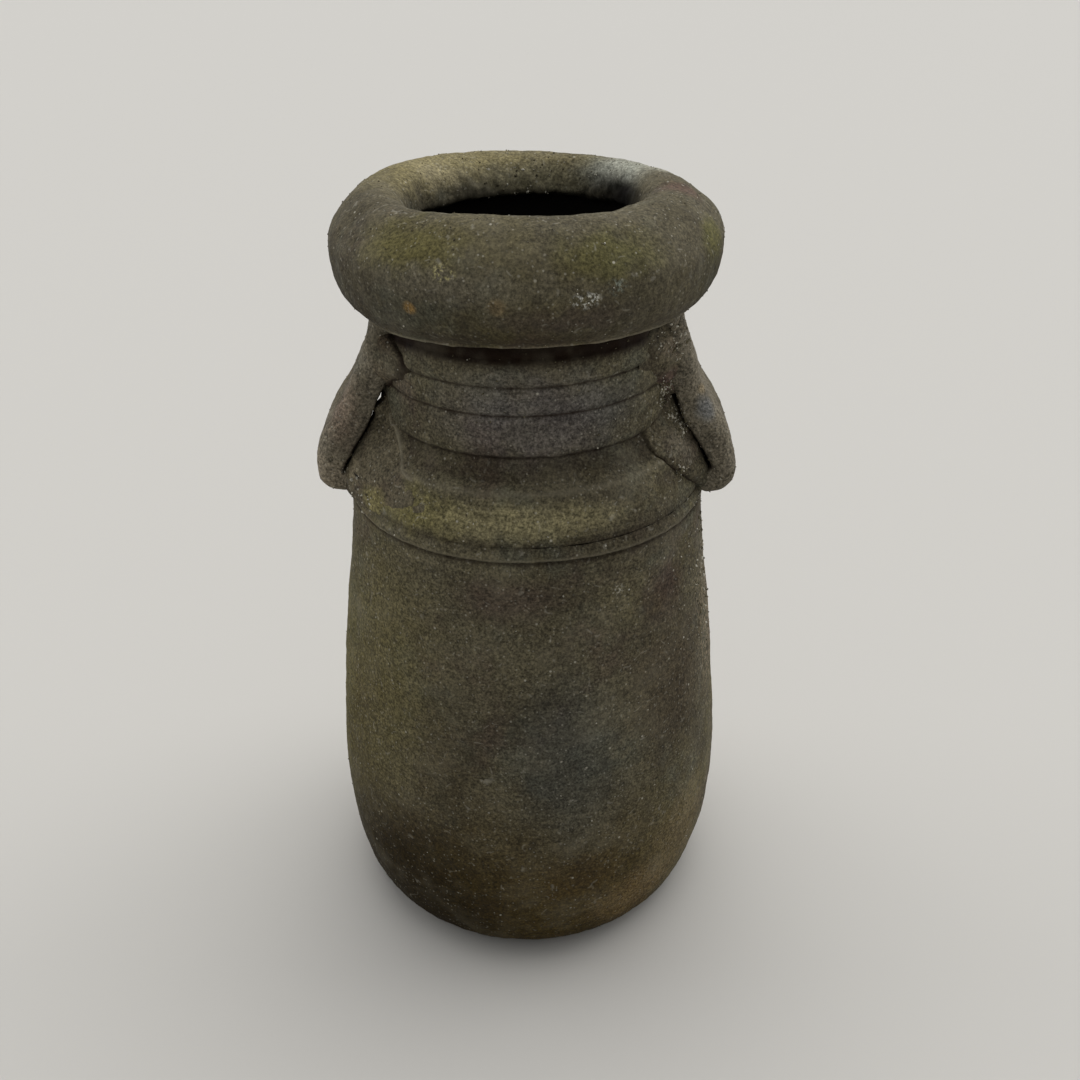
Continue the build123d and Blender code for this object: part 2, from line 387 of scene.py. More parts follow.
    # what the shape collects, and painted light and shade: dust and painted light where it faces up,
    # painted shade where it faces down, earth and painted shade in hollows, wear on what stands up, painted
    # shade inside
    dustAndShade = put(tree, "Attribute", {"attribute_name": "dustAndShade"}, take="Fac")
    shade = put(tree, "MapRange", {"To Min": look["below"], "To Max": look["above"]}, {"Value": dustAndShade})
    colour = put(tree, "Mix", shadeBy, {6: colour, 7: shade}, 2)
    for mark, tint in (("hollow", look["earthAndShade"]), ("worn", look["sand"]), ("insideShade", look["insideShade"])):
        share = put(tree, "Attribute", {"attribute_name": mark}, take="Fac")
        colour = put(tree, "Mix", {**rgb, 7: linear(tint)}, {0: share, 6: colour}, 2)

    patches = put(tree, "TexNoise", {"Scale": 1 / (6 * mm), "Detail": 3.0}, here)
    rough = put(tree, "MapRange", {"From Min": 0.35, "From Max": 0.65, "To Min": look["matte"][0],
                                   "To Max": look["matte"][1]}, {"Value": patches})
    height = patches
    for source, part in heights:
        height = put(tree, "Math", {"operation": "MULTIPLY_ADD", 1: part}, {0: source, 2: height})
    bump = put(tree, "Bump", {"Strength": look["bump"], "Distance": 0.4 * mm}, {"Height": height})
    skin = put(tree, "BsdfPrincipled", {"IOR": 1.5, "Specular IOR Level": look["sheen"]},
               {"Base Color": colour, "Roughness": rough, "Normal": bump})
    put(tree, "OutputMaterial", None, {"Surface": skin})
    print("material", name, len(tree.nodes), "nodes")
    return material


# A stain: middle, half sizes and raggedness in mm, greatest share, tint, and then, where not 0.25 and 0, the
# part of its size that has the full share and the size in mm of the flecks that it breaks into.
clayLook = {
    "body": "#5d5744", "shift": (0.0, 0.0, 0.0), "stains": [],
    # tint, size in mm, where its noise starts and ends, greatest share
    "clouds": [("#474133", 45, 0.46, 0.62, 0.8), ("#645c39", 60, 0.5, 0.66, 0.5),
               ("#50433b", 32, 0.53, 0.68, 0.6), ("#565649", 24, 0.52, 0.66, 0.6),
               ("#3d382d", 9, 0.52, 0.7, 0.5)],
    # size in mm, darkest, lightest, part of the bump
    "grit": [(1.5, 0.68, 1.34, 0.5), (0.8, 0.5, 1.6, 0.4)],
    "lineSpacing": 1.0, "lineShare": 0.05, "lineHeight": 0.15,
    # cell in mm, radius as a part of it, chance, greatest share
    "specks": [(1.3, 0.3, 0.35, 0.5), (4.0, 0.13, 0.35, 0.9)],
    "scratches": (10, 0.02, 0.3),  # size in mm, width in the noise's own measure, greatest share
    # the tint after sand colours the hollow mark, earth in dents and painted shade in grooves, recesses and
    # slits; the last tint is painted shade on the jar's inside
    "speck": "#b9b4a4", "sand": "#9a927c", "earthAndShade": "#20150c", "insideShade": "#171411",
    # below and above scale the colour by which way the skin faces: painted shade on what faces down, dust
    # and painted light on what faces up
    "below": 0.62, "above": 1.18, "matte": (0.78, 0.98), "sheen": 0.16, "bump": 0.8,
}
turnedClay = clayMaterial("turnedClay", {**clayLook, "stains": [
    ((-50, -40, 110), (40, 40, 75), 8, 0.6, "#645c38"),
    ((-72, -10, 90), (24, 44, 90), 8, 0.75, "#5c552d"),
    # painted shade: the lower front of the belly is darkened
    ((0, -60, 18), (100, 50, 80), 8, 0.92, "#4a3c1a", 0.15, 0),
    ((-62, -36, 70), (20, 26, 32), 7, 0.55, "#494021"),
    # painted shade: the lower left of the belly is darkened
    ((-42, -50, 20), (58, 55, 56), 9, 0.92, "#261c04"),
    # painted light: the lower right of the belly is lightened
    ((36, -54, 22), (26, 22, 20), 8, 0.7, "#7a6643"),
    ((18, -66, 42), (26, 20, 16), 8, 0.45, "#4b3a1c"),
    ((14, -64, 88), (26, 22, 52), 8, 0.5, "#4c4e49"),
    ((-24, -62, 88), (20, 18, 34), 8, 0.5, "#443b29"),
    ((-6, -60, 152), (22, 18, 11), 5, 0.6, "#483a35"),
    ((44, -42, 146), (13, 15, 13), 5, 0.65, "#46362f"),
    ((64, -16, 118), (12, 24, 48), 5, 0.7, "#8d7f69", 0.25, 1.6),
    ((-34, -46, 176), (28, 20, 9), 5, 0.6, "#77703f"),
    ((28, -52, 152), (3, 4, 3), 1.5, 0.9, "#c9c5b6", 0.25, 0.9),
    ((25, -40, 207), (20, 16, 9), 4, 0.5, "#45443c"),
    ((4, -48, 206), (46, 22, 20), 6, 0.4, "#6e696c"),
    ((-2, -56, 177), (54, 18, 8), 4, 0.7, "#88805f"),
    ((50, -46, 112), (30, 32, 44), 8, 0.75, "#443b2d"),
    # painted light: the lower right of the belly is lightened
    ((54, -42, 38), (24, 28, 30), 8, 0.6, "#75674a"),
    # painted shade: the shoulder under the front edge of the right lug's foot pad
    ((45, -33, 180), (11, 10, 4.5), 3, 0.65, "#3b3429"),
], "lineShare": 0.1, "lineHeight": 0.4})
rimClay = clayMaterial("rimClay", {**clayLook, "shift": (0.3, 0.1, 0.7), "body": "#575140", "below": 0.6,
    "grit": [(1.5, 0.74, 1.27, 0.5), (0.8, 0.6, 1.45, 0.4)], "stains": [
    ((-32, -46, 256), (26, 22, 9), 5, 0.65, "#615b31"),
    ((24, -50, 255), (24, 18, 8), 5, 0.6, "#5d5931"),
    ((55, -22, 252), (8, 14, 9), 3, 0.6, "#62602f"),
    ((-14, 20, 265), (62, 48, 12), 5, 0.8, "#867c58"),
    ((4, 35, 256), (36, 8, 6), 2, 0.75, "#8b8468"),
    ((-30, 22, 259), (14, 12, 7), 4, 0.45, "#978d70"),
    ((56, -16, 240), (14, 34, 18), 4, 0.65, "#3f3a24"),
    # painted highlight: the pale blue-grey patches on the back right of the rim's top
    ((31, 25, 260), (24, 17, 8), 3, 0.85, "#999a8e"),
    ((44, 22, 262), (10, 9, 6), 3, 0.6, "#a3a08f"),
    ((46.6, -5, 261.6), (11, 9, 6), 2, 0.75, "#5d4a40"),
    ((-10, -52, 247.5), (46, 20, 7), 4, 0.5, "#777161"),
    ((10, -56, 240), (30, 10, 6), 5, 0.5, "#4a3f3d"),
    ((-20.6, -54.4, 251.2), (5, 5, 3.4), 1.6, 0.85, "#b3aa78", 0.25, 1.3),
    ((16.7, -57.6, 244.8), (5.5, 5, 3.0), 2, 1.0, "#dcdbcf", 0.25, 1.3),
    ((24.9, -53.9, 247.6), (4, 4, 3.2), 1.5, 0.6, "#98a092", 0.25, 1.3),
    ((-30.7, -51.5, 240.8), (2.8, 3, 2.4), 1, 0.8, "#9b7b47"),
    ((-6.6, -59.7, 243.6), (4, 4, 3), 1.5, 0.5, "#857150"),
]})
lugClay = clayMaterial("lugClay", {**clayLook, "shift": (0.9, 0.4, 0.2), "body": "#6f6859", "stains": [
    ((72, 8, 198), (22, 24, 60), 7, 0.75, "#544e3e", 0.5, 0),
    ((-72, 8, 204), (22, 24, 44), 7, 0.75, "#5a5241", 0.5, 0),
    ((57, -20, 198), (5, 6, 7), 3, 0.6, "#62666a"),
    ((56, -20, 204), (3, 4, 3), 1.5, 0.6, "#8b7a5b"),
    ((-58, -18, 196), (9, 8, 20), 4, 0.5, "#7a6859"),
    ((-65, -19, 172), (14, 11, 15), 4, 0.65, "#8c816e"),
]})
lutingClay = clayMaterial("lutingClay", {**clayLook, "shift": (0.5, 0.8, 0.1), "body": "#5a5342", "stains": [
    ((-46, -22, 208), (12, 13, 9), 4, 0.7, "#766b59"),
    # painted shade: darker under the rim roll on the left upper pad
    ((-43, -22, 222), (9, 10, 8), 3, 0.8, "#40362a"),
    ((-56, -22, 177), (5, 6, 8), 3, 0.6, "#8a8068"),
    ((45, -22, 206), (8, 8, 9), 3, 0.7, "#66504b"),
    ((46, -23, 219), (9, 9, 5), 3, 0.45, "#75685a"),
    ((49, -26, 188), (7, 8, 9), 3, 0.35, "#6b6557"),
    # painted shadow: a near-black sliver in the crease at the left lug's foot
    ((-53.3, -24.5, 176.5), (4.5, 4, 0.55), 0.7, 1.0, "#0b0806"),
    ((-47, -34, 172), (12, 9, 7), 4, 0.75, "#857d52"),
    ((-21, -42.1, 209.8), (0.9, 1.5, 0.9), 0.3, 1.0, "#e2dfd2"),
]})


# Belly: tall thrown wall with finger ridges inside.

belly = {
    "foot": 57.0,  # standing ring
    "swell": [(61.7, 144.0), (65.3, 119.0), (68.3, 95.0), (70.9, 71.0)],
    "widestAt": 50.0,
    "heel": [(71.2, 31.0), (68.0, 13.0), (63.6, 3.4)],
    "ridge": (0.45, 8.5),  # finger ridges: height and spacing
}


def makeBelly():
    # A closed outline carried round the axis: out from the belt, down the swell, under the heel, up inside.
    wall = jar["wall"]
    swell = [(beltRadius, beltBottom), *belly["swell"], (bellyRadius, belly["widestAt"]), *belly["heel"],
             (belly["foot"], 0.0)]
    inside = [(floorRadius + 1, floorTop), (60.6, 13.5), (bellyRadius - wall, belly["widestAt"]),
              (68.3 - wall, 95.0), (61.7 - wall, 144.0), (beltRadius - wall, beltMiddle)]
    line = loop(([beltRoot, (beltRadius, beltBottom)], 5), (swell, 150),
                ([swell[-1], (floorRadius, 0.0)], 7), ([(floorRadius, 0.0), (floorRadius, floorTop - 2)], 4),
                ([(floorRadius, floorTop - 2), inside[0]], 3), (inside, 44), ([inside[-1], beltRoot], 4))
    grid = roundAxis(line)
    # painted shade: the inside run takes the dark tint of the jar's shaded inside
    within = (np.arange(len(line)) > 163)[:, None] * np.ones(jar["columns"])  # the run named inside
    height, spacing = belly["ridge"]
    spiral = np.sin(2 * np.pi * grid[..., 2] / spacing + azimuthOf(grid)) * within
    radial = 1 - height * spiral * ease(grid[..., 2], 14, 30) / np.hypot(grid[..., 0], grid[..., 1])
    grid[..., :2] *= radial[..., None]
    grid, marks = weather(grid, True, jar["rough"], 1, ease(grid[..., 2], 0, 6) * 0.8 + 0.2, within)
    grid[..., 2] = np.maximum(grid[..., 2], 0)
    # painted shade: the turned line under the belt is darkened
    beltLineShade = 0.7 * hill(line[:, 1], beltBottom, 0.9)[:, None]
    marks["hollow"] = np.maximum(marks["hollow"], beltLineShade)
    return finishPiece(surfacePiece("bellyWall", grid, True, marks), turnedClay, "turned_clay", "belly_wall")


makeBelly()

# Floor slab: its underside is the middle of the foot, cut from the wheel with a wire.

floorSlab = {"hollow": 0.9, "wire": (0.22, 3.1), "pull": (38.0, -64.0), "rough": [(12, 0.25), (3, 0.12)]}


def makeFloor():
    # An outline from the axis below to the axis above, carried round. The underside is a little hollow and
    # the wire's marks are arcs: height times the sine of the distance from the place it was pulled from.
    edge = floorRadius - 0.1
    runs = [([(0.4, floorSlab["hollow"]), (30, floorSlab["hollow"]), (edge, 0.1)], 60),
            ([(edge, 0.1), (edge, floorTop - 2)], 5),
            ([(edge, floorTop - 2), (floorRadius - 2, floorTop)], 4),
            ([(floorRadius - 2, floorTop), (25, floorTop - 0.4), (0.4, floorTop)], 34)]
    grid = roundAxis(loop(*runs), 240)
    height, spacing = floorSlab["wire"]
    away = np.hypot(grid[..., 0] - floorSlab["pull"][0], grid[..., 1] - floorSlab["pull"][1])
    below = ease(grid[..., 2], 2.0, 1.0) * ease(np.hypot(grid[..., 0], grid[..., 1]), floorRadius, 44)
    arcs = np.sin(2 * np.pi * away / spacing + 1.5 * clayNoise(grid, 16, 31)) * below
    grid[..., 2] += height * arcs
    # painted shade: the slab's top, inside the jar, takes the dark tint of the shaded inside
    above = (grid[..., 2] > floorTop / 2).astype(float)
    grid, marks = weather(grid, False, floorSlab["rough"], 2, 1.0, above)
    grid[..., 2] = np.maximum(grid[..., 2], 0.05)
    marks["hollow"] = np.maximum(marks["hollow"], np.clip(-arcs, 0, 1) * 0.4)
    return finishPiece(surfacePiece("floorSlab", grid, False, marks),
                       turnedClay, "turned_clay", "floor_disc")


makeFloor()

# Belt: a V-backed band between the belly and the shoulder.

belt = {"groove": 0.8, "line": 0.5}  # depths of the dip above the belt and the line below it


def makeBelt():
    # A crowned face between two turned lines, closed behind by the V, carried round the axis.
    low, high = (beltRadius - belt["line"], beltBottom + 0.2), (beltRadius - belt["groove"], beltTop)
    face = [low, (beltRadius + 0.1, beltBottom + 0.8),
            (beltRadius + jar["beltCrown"] - 0.2, beltMiddle - 0.3), (beltRadius, beltTop - 1.5), high]
    line = loop((face, 20), ([high, beltRoot], 4), ([beltRoot, low], 4))
    grid, marks = weather(roundAxis(line), True, jar["rough"], 1)
    # painted shade: the line under the belt and the dip above it are darkened
    edges = np.maximum(0.7 * hill(line[:, 1], beltBottom + 0.2, 0.5), 0.35 * hill(line[:, 1], beltTop, 1.6))
    marks["hollow"] = np.maximum(marks["hollow"], edges[:, None])
    marks["worn"] = np.maximum(marks["worn"], 0.25 * hill(line[:, 1], beltBottom + 1.4, 0.6)[:, None])
    return finishPiece(surfacePiece("jointBelt", grid, True, marks), turnedClay, "turned_clay", "joint_belt")


# Shoulder: slope, soft ridge and cove.

shoulder = {
    "slope": [(58.2, 173.4), (55.6, 179.2)],
    "ridge": (52.5, 185.0),
    "cove": [(50.0, 187.2), (48.2, 189.8)],
    "top": 46.0,
}


def makeShoulder():
    # Out from the belt, up the slope to the soft ridge, in through the cove, and down inside.
    wall = jar["wall"]
    inner = (beltRadius - wall, beltMiddle)
    foot, top, bore = (beltRadius - belt["groove"], beltTop), (shoulder["top"], neckFoot), (39.7, neckFoot)
    line = loop(([beltRoot, foot], 8),
                ([foot, (beltRadius - 0.9, beltTop + 1.4), *shoulder["slope"], shoulder["ridge"],
                  *shoulder["cove"], top], 50),
                ([top, bore], 5), ([bore, (44.6, 183.0), inner], 16), ([inner, beltRoot], 4))
    # painted shade: the inside of the wall takes the dark tint of the shaded inside
    within = (np.arange(len(line)) > 59)[:, None] * 1.0
    grid, marks = weather(roundAxis(line), True, jar["rough"], 1, 1.0, within)
    h = line[:, 1][:, None]
    # painted shade: the dip above the belt, the cove under the ridge and the seam at the neck's foot are
    # darkened
    cove = 0.35 * hill(h, beltTop, 1.6) + 0.4 * ease(h, 185.6, 188) + 0.5 * hill(h, neckFoot, 0.7)
    marks["hollow"] = np.clip(marks["hollow"] + cove, 0, 1)
    marks["worn"] = np.maximum(marks["worn"], 0.25 * hill(h, shoulder["ridge"][1] - 0.6, 0.9))
    return finishPiece(surfacePiece("shoulderWall", grid, True, marks),
                       turnedClay, "turned_clay", "shoulder_wall")


# Neck: three crowned rings, each ending in a turned line, then the recess under the rim.

neck = {
    "radius": 47.2, "lines": (206.6, 215.3, 223.8), "drawIn": 0.4, "crown": 0.5, "cut": 0.5,
    "recess": (44.0, 227.6), "seat": (46.6, 231.5), "top": 240.0,
}


def makeNeck():
    # Each ring's outline leans in a little, swells in its middle and ends in a cut; closed down the bore.
    r, runs = neck["radius"], []
    start = (r - 0.3, neckFoot)
    for step, lineHeight in enumerate(neck["lines"]):
        end = (r - neck["drawIn"] * (step + 1) - neck["cut"], lineHeight)
        lead = (start[0] + neck["cut"] + 0.1, start[1] + 1.0)
        middle = ((start[0] + end[0]) / 2 + neck["crown"] + neck["cut"] * 0.6, (start[1] + end[1]) / 2)
        tail = (end[0] + neck["cut"], lineHeight - 0.7)
        runs.append(([start, lead, middle, tail, end], 24))
        start = end
    bore, seat = r - jar["wall"], neck["seat"]
    runs += [([start, (45.2, 225.4), neck["recess"]], 6), ([neck["recess"], seat], 6),
             ([seat, (seat[0], neck["top"])], 5), ([(seat[0], neck["top"]), (bore + 3.2, neck["top"])], 3),
             ([(bore + 3.2, neck["top"]), (bore, 233.0), (bore, neckFoot)], 14),
             ([(bore, neckFoot), (r - 0.3, neckFoot)], 5)]
    line = loop(*runs)
    # painted shade: the bore takes the dark tint of the shaded inside
    within = (line[:, 0] < bore + 4)[:, None] * 1.0
    grid, marks = weather(roundAxis(line), True, jar["rough"], 1, 1.0, within)
    h = line[:, 1][:, None]
    # painted shade with dark earth: the recess under the rim and the turned lines are darkened where shade
    # falls
    cutShade = sum(hill(h, lineHeight, 0.42) for lineHeight in (neckFoot + 0.2, *neck["lines"][:2]))
    paintedShade = np.clip(0.97 * ease(h, 219.8, 223.6) + 0.8 * cutShade, 0, 1)
    marks["hollow"] = np.clip(marks["hollow"] + paintedShade, 0, 1)
    return finishPiece(surfacePiece("neckWall", grid, True, marks), turnedClay, "turned_clay", "neck_wall")


makeBelt()
makeShoulder()
makeNeck()

# Rolled rim: throat and roll are one sheet of clay, turned out and down.

rim = {
    "centre": (46.7, rimTop - 16.1), "long": 16.6, "short": 12.7, "lean": 67.0,
    # what the outer side adds to the oval: mm, height and width
    "corrections": [(-0.5, 258.0, 3.0), (0.7, 250.0, 4.0), (-0.5, 238.0, 6.0)],
    "lip": [(53.7, 230.2), (53.0, 229.9), (52.2, 230.5)],
    "seat": [(49.0, 230.9), (45.4, 231.6)],
    "inside": [(40.2, 238.0), (39.4, 244.0), (38.2, 249.0), (34.6, 252.0)],
    "throat": [(34.6, 252.0), (34.7, 254.4), (36.0, 258.4), (38.9, 261.6)],
    "raise": 1.0,  # the crown stands a little higher than the oval
    "crest": [(-1.9, -0.95, 0.4), (0.5, -0.1, 0.35), (-0.8, 0.65, 0.25)],  # mm, direction, spread
    "mouthOval": (2.6, -0.79),  # the mouth's long way runs from front left to back right
    "pinch": (1.9, 1.8, 0.3, 254.0, 5.0),  # a bruise on the right: mm, direction, spread, height, spread
    "throatShade": (2.1, 0.42, 256.5, 261.0),  # painted shade licks up the throat there: direction, spread, heights
    "throatRough": (0.8, 1.6),  # how much rougher the throat is, and how much more at its back
    "lipLine": (0.32, 0.42),  # the worn edge of the lip: share and width
    "aboveLip": (0.3, 233.2, 1.6),  # painted shade in the dip above it: share, height and width
    "rough": [(24, 0.5), (9, 0.3), (3.6, 0.2), (2.2, 0.14)],
}


def makeRim():
    # A leaning oval, centre + long cos t + short sin t along its two axes, from the crown to the lip below;
    # then the seat, the undercut inside and the flaring throat. Carried round the axis.
    t = np.linspace(3.0, 0.05, 90)
    lean = math.radians(-rim["lean"])
    u, v = rim["long"] * np.cos(t), rim["short"] * np.sin(t)
    roll = np.stack([rim["centre"][0] + u * math.cos(lean) - v * math.sin(lean),
                     rim["centre"][1] + u * math.sin(lean) + v * math.cos(lean)], -1)
    outer = ease(roll[:, 0], 47, 54)
    for amount, height, width in rim["corrections"]:
        roll[:, 0] += amount * hill(roll[:, 1], height, width) * outer
    roll[:, 1] += rim["raise"] * ease(roll[:, 1], 243, 259)
    below = loop(([roll[-1], *rim["lip"]], 9), ([rim["lip"][-1], *rim["seat"]], 9),
                 ([rim["seat"][-1], *rim["inside"]], 22), ([*rim["throat"], roll[0]], 18))
    line = np.concatenate([roll[:-1], below])
    grid = roundAxis(line, 440)
    a, r = azimuthOf(grid), np.hypot(grid[..., 0], grid[..., 1])
    stretch = rim["mouthOval"][0] * np.cos(2 * (a - rim["mouthOval"][1])) * ease(r, 45, 34)
    amount, way, spread, height, reach = rim["pinch"]
    stretch += amount * hill(a, way, spread) * hill(grid[..., 2], height, reach) * ease(r, 50, 56)
    grid[..., :2] *= (1 + stretch / r)[..., None]
    crest = sum(amount * hill(a, way, spread) for amount, way, spread in rim["crest"])
    grid[..., 2] += crest * ease(grid[..., 2], 246, 259)
    index = np.arange(len(line))
    # painted shade: the undercut inside takes the dark tint of the shaded inside, and it licks up the
    # throat's back right wall
    within = ((index > len(roll) + 12) & (index < len(roll) + 35))[:, None] * 1.0
    way, spread, low, high = rim["throatShade"]
    shadedThroat = hill(a, way, spread) * ease(grid[..., 2], high, low) * (index > len(roll) + 12)[:, None]
    within = np.maximum(within, shadedThroat)
    more, behind = rim["throatRough"]
    share = 1 + hill(line[:, 0], 34, 3)[:, None] * (more + behind * ease(grid[..., 1], 5, 25))
    grid, marks = weather(grid, True, rim["rough"], 6, share, within)
    lipX, lipHeight = rim["lip"][0]
    amount, width = rim["lipLine"]
    lipLine = hill(np.hypot(line[:, 0] - lipX, line[:, 1] - lipHeight), 0, width)[:, None]
    partly = ease(clayNoise(grid, 13, 61), -0.5, 0.3)
    marks["worn"] = np.clip(marks["worn"] + amount * lipLine * partly, 0, 1)
    # painted shade: the dip above the lip is darkened
    amount, height, width = rim["aboveLip"]
    above = hill(line[:, 1], height, width)[:, None] * ease(line[:, 0], 52, 54)[:, None]
    marks["hollow"] = np.clip(marks["hollow"] + amount * above, 0, 1)
    # painted shade: the roll's underside is darkened
    underside = ease(line[:, 1], 233.5, 230.8)[:, None] * ease(line[:, 0], 53.4, 52.4)[:, None]
    marks["hollow"] = np.clip(marks["hollow"] + 0.9 * underside, 0, 1)
    return finishPiece(surfacePiece("rolledRim", grid, True, marks),
                       rimClay, "rim_clay", "throat_wall", "rim_roll")


makeRim()

# Lugs: a thick strap hung from the neck, folded back under itself and pressed to the shoulder.

lug = {
    # outer x and z, inner x and z, half width: from under the rim, down the strap and round the fold
    "strap": [(47.0, 234.0, 39.0, 234.0, 21.5), (48.5, 224.4, 39.5, 222.5, 21.0),
              (50.9, 216.7, 40.2, 213.0, 20.6), (54.8, 208.8, 45.0, 203.8, 20.2),
              (59.4, 200.7, 48.7, 195.0, 20.0), (63.9, 192.4, 52.9, 187.6, 20.0),
              (67.1, 183.9, 57.1, 181.0, 20.0), (68.8, 175.2, 59.5, 176.4, 19.8),
              (68.1, 170.6, 59.4, 175.7, 19.6), (65.6, 167.2, 59.0, 175.3, 19.4),
              (61.5, 165.9, 58.2, 175.1, 19.2), (57.0, 166.9, 56.6, 175.2, 19.0),
              (53.5, 169.5, 54.0, 176.0, 18.5)],
    "corner": (1.7, 5.2), "crown": 0.9, "outerBow": 1.3,  # corner radii beside the slit and outside
    "slitBow": (1.5, 2.7, 176.0, 198.0),  # the slit's walls: mm, more above, heights
    # what each lug has of its own: column of the strap, amount, height and reach
    "own": {1: [(0, -2.2, 197.5, 7.5), (0, -0.4, 187.0, 6.0), (1, -2.4, 207.0, 5.0), (1, 0.5, 191.0, 5.0),
                (1, -1.3, 179.0, 4.0)],
            -1: [(0, -0.8, 200.0, 6.0), (0, 0.9, 186.0, 7.0), (1, 1.6, 165.0, 6.0)]},
    "rough": [(18, 0.45), (7, 0.3), (3, 0.22), (2.1, 0.14)],
}


def ownShift(side, column, heights):
    # What a lug adds to a column of the strap: amount times a bell round its height, summed.
    return sum(amount * hill(heights, height, reach) for key, amount, height, reach in lug["own"][side]
               if key == column)


def slitBow(heights):
    # How far the slit's walls curve round the neck between the lug's flanks, more at the top of the slit.
    least, more, low, high = lug["slitBow"]
    return least + more * ease(heights, low, high)


def makeLug(name, side, seed, node):
    # A rounded rectangle carried along the folded strap. Its corners are quarter circles round the corners
    # of a smaller rectangle; thickness runs from the inner line to the outer and width along y.
    # Side is 1 for the right lug and -1 for the left; the two differ by what lug["own"] adds.
    strap = smoothLine(lug["strap"], 160)
    heights = strap[:, 1].copy()
    for column in (0, 1):
        strap[:, column] += ownShift(side, column, heights)
    strap[:, 0] -= 0.6 * ease(heights, 160, 176)  # makes room for the bow of the outer face
    along = np.stack([strap[:, 0], heights * 0, heights], -1)
    strap[:, 4] += 0.8 * clayNoise(along, 17, seed + 3) + 0.35 * clayNoise(along, 6, seed + 4)
    out, into, half = strap[:, None, 0:2], strap[:, None, 2:4], strap[:, 4:5]
    base, normal = [], []
    for quarter, count in enumerate((26, 8, 26, 8)):
        spin = np.linalg.matrix_power(np.array([[0, -1], [1, 0]]), quarter)
        flat = np.linspace(-1, 1, count, endpoint=False)
        arc = np.linspace(0, np.pi / 2, 8, endpoint=False)
        base.append(np.concatenate([np.stack([flat * 0 + 1, flat], -1), np.ones((8, 2))]) @ spin.T)
        normal.append(np.concatenate([np.stack([flat * 0 + 1, flat * 0], -1),
                                      np.stack([np.cos(arc), np.sin(arc)], -1)]) @ spin.T)
    base, normal = np.concatenate(base), np.concatenate(normal)
    thick = np.linalg.norm(out - into, axis=-1)
    tight, wide = lug["corner"]
    corner = np.minimum((wide + tight) / 2 + (wide - tight) / 2 * base[:, 0], thick * 0.45)
    across = 0.5 + (base[:, 0] * (thick / 2 - corner) + normal[:, 0] * corner) / thick
    y = base[:, 1] * (half - corner) + normal[:, 1] * corner
    y = y * (1 + lug["crown"] / half * (1 - (2 * across - 1) ** 2))
    bow = (1 - across) * slitBow(into[..., 1]) + across * lug["outerBow"]
    xz = into * (1 - across[..., None]) + out * across[..., None]
    x = xz[..., 0] + bow * (1 - (y / half) ** 2)
    grid = np.stack([side * x, y, xz[..., 1]], -1)
    grid, marks = weather(grid, False, lug["rough"], seed)
    # painted shade: the lug's inner face at the top of the slit is darkened
    slit = ease(across, 0.12, 0.0) * ease(xz[..., 1], 214, 206)
    marks["hollow"] = np.clip(marks["hollow"] + 0.8 * slit, 0, 1)
    return finishPiece(surfacePiece(name, grid, False, marks), lugClay, "lug_clay", node)


makeLug("rightLug", 1, 21, "right_lug")
makeLug("leftLug", -1, 22, "left_lug")

# Luting: soft clay pressed round the lugs' ends and smeared over the neck and shoulder.

footWall = [(167.0, 60.2), (172.0, 60.0), (176.0, 59.0), (179.8, 56.8), (187.0, 52.4), (193.2, 48.4),
            (200.6, 43.8), (206.0, 41.0)]
topWall = [(203.0, 53.6), (208.8, 52.8), (216.7, 49.2), (224.4, 46.9), (234.0, 46.0)]
footPad = {"wall": footWall, "low": 166.5, "high": 206.0, "lead": 3.0, "bowed": True}
topPad = {"wall": topWall, "high": 233.0, "bowed": False}
luting = {
    # walls and edges by height: x beside the slit or at the strap's flank, and degrees from the lug's
    # middle to the pad's edge; blunt is 1 for a rounded edge and 0 for a feathered one
    # each pad has its own share of painted shade along its front edge
    "leftFoot": {**footPad, "side": -1, "node": "left_lug_foot_pad",
                 "front": [(167, 42), (171, 50), (176, 62), (181, 68), (185, 54), (194, 38), (200, 28),
                           (206, 24)],
                 "back": [(167, 34), (180, 52), (190, 42), (206, 25)],
                 "blunt": [(167, 0.1), (180, 0.05), (190, 0.25)], "paintedShade": 0.0, "ragged": 0.05,
                 # a dip that lets light through the slit, a crumb in the slit, and the smear's raised edge
                 "dip": 5.5, "crumb": (197.6, 1.3, 2.4),
                 "smear": [(174.5, 74.0), (178.5, 66.0), (181.0, 59.0), (183.2, 51.4), (185.6, 43.5),
                           (190.8, 37.0), (194.8, 29.5), (197.0, 27.0)]},
    "rightFoot": {**footPad, "side": 1, "node": "right_lug_foot_pad",
                  "front": [(167, 18), (171, 21), (176, 28), (181.5, 34), (188, 39.5), (194, 39), (200, 31),
                            (206, 24)],
                  "back": [(167, 36), (180, 50), (190, 42), (206, 25)],
                  "blunt": [(167, 0.9), (192, 0.85), (198, 0.3)], "paintedShade": 1.0, "ragged": 0.03},
    "leftTop": {**topPad, "side": -1, "node": "left_lug_top_pad", "low": 203.5, "lead": 6.0,
                "front": [(204, 25), (209, 31), (212, 39), (215, 42), (219, 38.5), (222, 33), (226, 25),
                          (230, 22)],
                "back": [(204, 23), (214, 42), (230, 30)],
                "blunt": [(210, 0.15), (216, 0.25), (222, 0.85)], "paintedShade": 0.9, "ragged": 0.03},
    "rightTop": {**topPad, "side": 1, "node": "right_lug_top_pad", "low": 198.5, "lead": 5.0,
                 "front": [(198, 24), (204, 27), (209, 34), (214, 44), (219, 44), (225, 36), (230, 32)],
                 "back": [(204, 23), (214, 40), (230, 30)],
                 "blunt": [(205, 0.1), (222, 0.1), (230, 0.4)], "paintedShade": 0.3, "ragged": 0.08},
}
lutingRough = [(10, 0.45), (4.5, 0.3), (2.2, 0.22)]
sunk = 0.6  # how far an edge lies under the jar's skin
